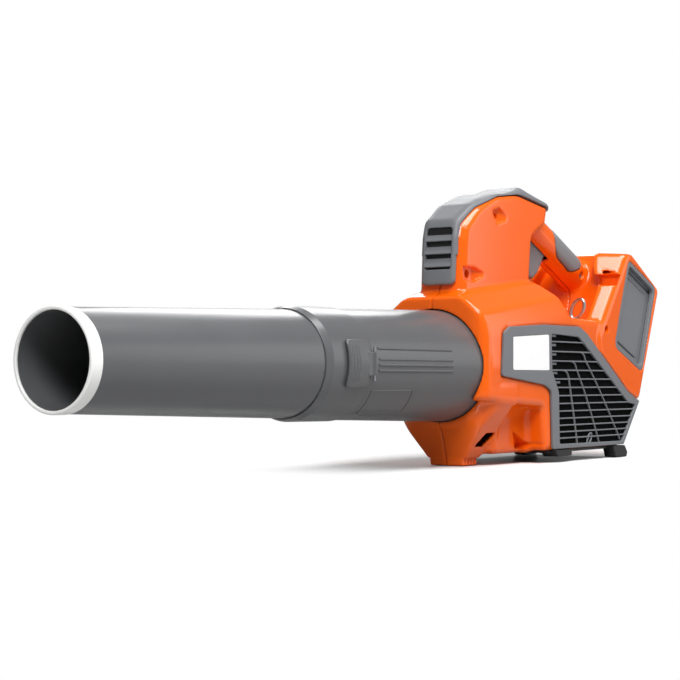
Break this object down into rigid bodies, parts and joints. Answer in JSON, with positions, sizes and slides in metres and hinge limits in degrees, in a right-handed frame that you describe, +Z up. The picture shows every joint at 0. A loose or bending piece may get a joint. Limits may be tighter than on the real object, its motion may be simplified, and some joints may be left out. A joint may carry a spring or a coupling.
{
  "type": "handheld leaf blower",
  "caption": "Handheld battery leaf blower with a telescoping nozzle, an in-line axial fan, a top handle with trigger, side intake grilles and a tilted slide-in battery.",
  "frame": {"origin": "floor level, at the middle of the object's length and width", "axes": "+X forward along the air stream out of the nozzle, +Y to the machine's left, +Z up"},
  "size_m": [0.933, 0.128, 0.2892],
  "materials": {
    "orange_shell": "glossy moulded orange",
    "grey_plastic": "matte moulded mid grey",
    "dark_plastic": "satin dark grey",
    "black_plastic": "matte black",
    "grip_rubber": "soft grey grip",
    "black_rubber": "black rubber",
    "pale_ring": "pale glossy ring",
    "label_white": "blank white plate",
    "screen_black": "black mesh",
    "key_green": "green key",
    "steel": "plain steel",
    "aluminium": "bare aluminium",
    "copper": "copper windings on a core",
    "board_green": "coated board",
    "cell_sleeve": "sleeved cells"
  },
  "bodies": {
    "machine": {"left_housing": "orange_shell", "right_housing": "orange_shell", "top_cover": "grey_plastic", "left_intake_grille": "grey_plastic", "right_intake_grille": "grey_plastic", "outlet_tube": "dark_plastic", "keypad_panel": "black_plastic", "base_skid": "black_plastic", "fan_duct": "black_plastic", "tail_cone": "black_plastic", "inlet_bell": "black_plastic", "trigger_switch": "black_plastic", "terminal_block": "black_plastic", "grip_pad": "grip_rubber", "front_damper": "black_rubber", "rear_damper": "black_rubber", "motor_leads": "black_rubber", "battery_leads": "black_rubber", "left_label_plate": "label_white", "right_label_plate": "label_white", "left_intake_screen": "screen_black", "right_intake_screen": "screen_black", "trigger_pin": "steel", "trigger_spring": "steel", "housing_screws": "steel", "latch_pin": "steel", "front_bearing": "steel", "rear_bearing": "steel", "heat_sink": "aluminium", "motor_stator": "copper", "control_board": "board_green"},
    "nozzle": {"nozzle_tube": "dark_plastic", "nozzle_ring": "pale_ring"},
    "latch": {"tube_latch": "dark_plastic"},
    "trigger_lever": {"trigger": "grey_plastic"},
    "power_key": {"power_button": "key_green"},
    "boost_key": {"boost_button": "grey_plastic"},
    "battery": {"battery_case": "grey_plastic", "battery_cap": "grey_plastic", "battery_cells": "cell_sleeve"},
    "left_pad": {"left_release_pad": "dark_plastic"},
    "right_pad": {"right_release_pad": "dark_plastic"},
    "rotor": {"axial_fan": "dark_plastic", "fan_nut": "steel", "motor_rotor": "steel", "motor_shaft": "steel"},
    "eye": {"strap_eyelet": "steel"}
  },
  "joints": [
    {"name": "nozzle_slide", "type": "slide", "parent": "machine", "child": "nozzle", "axis": [1, 0, 0], "range_m": [0, 0.06]},
    {"name": "latch_lift", "type": "hinge", "parent": "machine", "child": "latch", "pos_m": [0.12249, 0.0526, 0.1], "axis": [0, 0, 1], "range_deg": [0, 10], "stiffness_Nm_per_rad": 0.3},
    {"name": "trigger_pull", "type": "hinge", "parent": "machine", "child": "trigger_lever", "pos_m": [-0.24451, 0, 0.252], "axis": [0, 1, 0], "range_deg": [0, 12], "stiffness_Nm_per_rad": 0.5, "springref_deg": -11.46},
    {"name": "power_press", "type": "slide", "parent": "machine", "child": "power_key", "axis": [0.1925, 0, -0.9813], "range_m": [0, 0.0012], "stiffness_N_per_m": 600, "springref_m": -0.0005},
    {"name": "boost_press", "type": "slide", "parent": "machine", "child": "boost_key", "axis": [0.1925, 0, -0.9813], "range_m": [0, 0.0012], "stiffness_N_per_m": 600, "springref_m": -0.0005},
    {"name": "battery_slide", "type": "slide", "parent": "machine", "child": "battery", "axis": [-0.3584, 0, 0.9336], "range_m": [0, 0.16]},
    {"name": "left_release_press", "type": "slide", "parent": "battery", "child": "left_pad", "axis": [0, -1, 0], "range_m": [0, 0.0025], "stiffness_N_per_m": 800},
    {"name": "right_release_press", "type": "slide", "parent": "battery", "child": "right_pad", "axis": [0, 1, 0], "range_m": [0, 0.0025], "stiffness_N_per_m": 800},
    {"name": "fan_spin", "type": "hinge", "parent": "machine", "child": "rotor", "pos_m": [-0.16751, 0, 0.1], "axis": [1, 0, 0], "continuous": true},
    {"name": "eyelet_turn", "type": "hinge", "parent": "machine", "child": "eye", "pos_m": [-0.30451, 0.038, 0.1508], "axis": [0, 0, 1], "range_deg": [-90, 90]}
  ]
}
